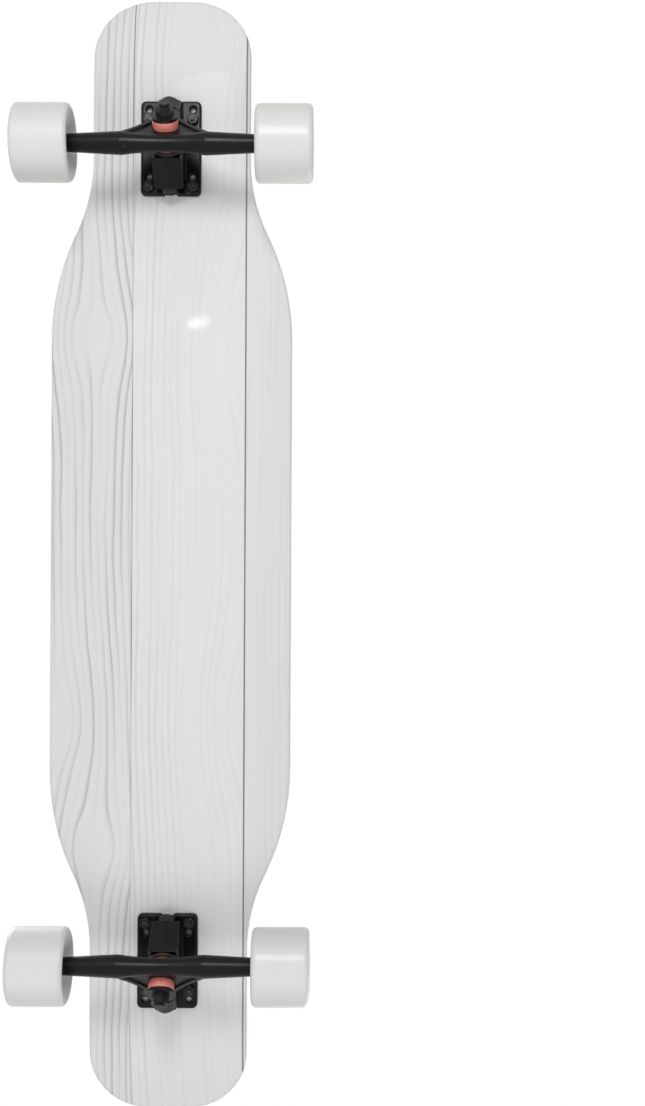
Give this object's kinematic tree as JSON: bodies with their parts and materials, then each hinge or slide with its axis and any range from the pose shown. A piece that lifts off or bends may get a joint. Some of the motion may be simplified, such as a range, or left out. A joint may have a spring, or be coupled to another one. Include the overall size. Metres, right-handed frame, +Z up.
{
  "type": "longboard skateboard",
  "caption": "Longboard skateboard: a concave wood deck with grip tape on reverse-kingpin trucks that steer against bushings, with smooth urethane wheels on ball bearings.",
  "frame": {"origin": "on the ground under the middle of the deck", "axes": "+X along the deck towards the nose, +Y across it to the left, +Z up"},
  "size_m": [1.06, 0.2692, 0.1341],
  "materials": {
    "deck": "white-washed planks, satin",
    "grip": "coarse grit",
    "casting": "black coated casting",
    "black_steel": "black oxide",
    "steel": "machined",
    "bearing_steel": "polished",
    "shield": "matte",
    "bushing": "satin urethane",
    "pivot_cup": "matte",
    "urethane": "glossy urethane",
    "hub": "satin nylon"
  },
  "bodies": {
    "board": {"deck": "deck", "grip_tape": "grip", "front_baseplate": "casting", "front_pivot_cup": "pivot_cup", "front_kingpin": "black_steel", "front_kingpin_nut": "black_steel", "front_cup_washers": "black_steel", "front_boardside_bushing": "bushing", "front_roadside_bushing": "bushing", "front_truck_bolts": "black_steel", "front_truck_nuts": "black_steel", "rear_baseplate": "casting", "rear_pivot_cup": "pivot_cup", "rear_kingpin": "black_steel", "rear_kingpin_nut": "black_steel", "rear_cup_washers": "black_steel", "rear_boardside_bushing": "bushing", "rear_roadside_bushing": "bushing", "rear_truck_bolts": "black_steel", "rear_truck_nuts": "black_steel"},
    "front_hanger_body": {"front_hanger": "casting", "front_axle": "steel", "front_axle_nuts": "steel", "front_speed_rings": "steel", "front_left_bearing_inner_rings": "bearing_steel", "front_left_bearing_spacer": "steel", "front_right_bearing_inner_rings": "bearing_steel", "front_right_bearing_spacer": "steel"},
    "front_left_wheel": {"front_left_tyre": "urethane", "front_left_core": "hub", "front_left_bearing_outer_rings": "bearing_steel", "front_left_bearing_shields": "shield"},
    "front_left_ball_set": {"front_left_bearing_balls": "bearing_steel"},
    "front_right_wheel": {"front_right_tyre": "urethane", "front_right_core": "hub", "front_right_bearing_outer_rings": "bearing_steel", "front_right_bearing_shields": "shield"},
    "front_right_ball_set": {"front_right_bearing_balls": "bearing_steel"},
    "rear_hanger_body": {"rear_hanger": "casting", "rear_axle": "steel", "rear_axle_nuts": "steel", "rear_speed_rings": "steel", "rear_left_bearing_inner_rings": "bearing_steel", "rear_left_bearing_spacer": "steel", "rear_right_bearing_inner_rings": "bearing_steel", "rear_right_bearing_spacer": "steel"},
    "rear_left_wheel": {"rear_left_tyre": "urethane", "rear_left_core": "hub", "rear_left_bearing_outer_rings": "bearing_steel", "rear_left_bearing_shields": "shield"},
    "rear_left_ball_set": {"rear_left_bearing_balls": "bearing_steel"},
    "rear_right_wheel": {"rear_right_tyre": "urethane", "rear_right_core": "hub", "rear_right_bearing_outer_rings": "bearing_steel", "rear_right_bearing_shields": "shield"},
    "rear_right_ball_set": {"rear_right_bearing_balls": "bearing_steel"}
  },
  "joints": [
    {"name": "front_steer", "type": "hinge", "parent": "board", "child": "front_hanger_body", "pos_m": [0.38673, 0, 0.05358], "axis": [0.6691, 0, 0.7431], "range_deg": [-20, 20], "stiffness_Nm_per_rad": 40, "deforming": ["front_boardside_bushing", "front_roadside_bushing"]},
    {"name": "front_left_wheel_spin", "type": "hinge", "parent": "front_hanger_body", "child": "front_left_wheel", "pos_m": [0.37, 0, 0.035], "axis": [0, 1, 0], "continuous": true},
    {"name": "front_left_ball_set_spin", "type": "hinge", "parent": "front_hanger_body", "child": "front_left_ball_set", "pos_m": [0.37, 0, 0.035], "axis": [0, 1, 0], "continuous": true},
    {"name": "front_right_wheel_spin", "type": "hinge", "parent": "front_hanger_body", "child": "front_right_wheel", "pos_m": [0.37, 0, 0.035], "axis": [0, 1, 0], "continuous": true},
    {"name": "front_right_ball_set_spin", "type": "hinge", "parent": "front_hanger_body", "child": "front_right_ball_set", "pos_m": [0.37, 0, 0.035], "axis": [0, 1, 0], "continuous": true},
    {"name": "rear_steer", "type": "hinge", "parent": "board", "child": "rear_hanger_body", "pos_m": [-0.38673, 0, 0.05358], "axis": [-0.6691, 0, 0.7431], "range_deg": [-20, 20], "stiffness_Nm_per_rad": 40, "deforming": ["rear_boardside_bushing", "rear_roadside_bushing"]},
    {"name": "rear_left_wheel_spin", "type": "hinge", "parent": "rear_hanger_body", "child": "rear_left_wheel", "pos_m": [-0.37, 0, 0.035], "axis": [0, 1, 0], "continuous": true},
    {"name": "rear_left_ball_set_spin", "type": "hinge", "parent": "rear_hanger_body", "child": "rear_left_ball_set", "pos_m": [-0.37, 0, 0.035], "axis": [0, 1, 0], "continuous": true},
    {"name": "rear_right_wheel_spin", "type": "hinge", "parent": "rear_hanger_body", "child": "rear_right_wheel", "pos_m": [-0.37, 0, 0.035], "axis": [0, 1, 0], "continuous": true},
    {"name": "rear_right_ball_set_spin", "type": "hinge", "parent": "rear_hanger_body", "child": "rear_right_ball_set", "pos_m": [-0.37, 0, 0.035], "axis": [0, 1, 0], "continuous": true}
  ],
  "couplings": [
    {"joint": "front_left_ball_set_spin", "follows": "front_left_wheel_spin", "ratio": 0.632},
    {"joint": "front_right_ball_set_spin", "follows": "front_right_wheel_spin", "ratio": 0.632},
    {"joint": "rear_left_ball_set_spin", "follows": "rear_left_wheel_spin", "ratio": 0.632},
    {"joint": "rear_right_ball_set_spin", "follows": "rear_right_wheel_spin", "ratio": 0.632}
  ]
}
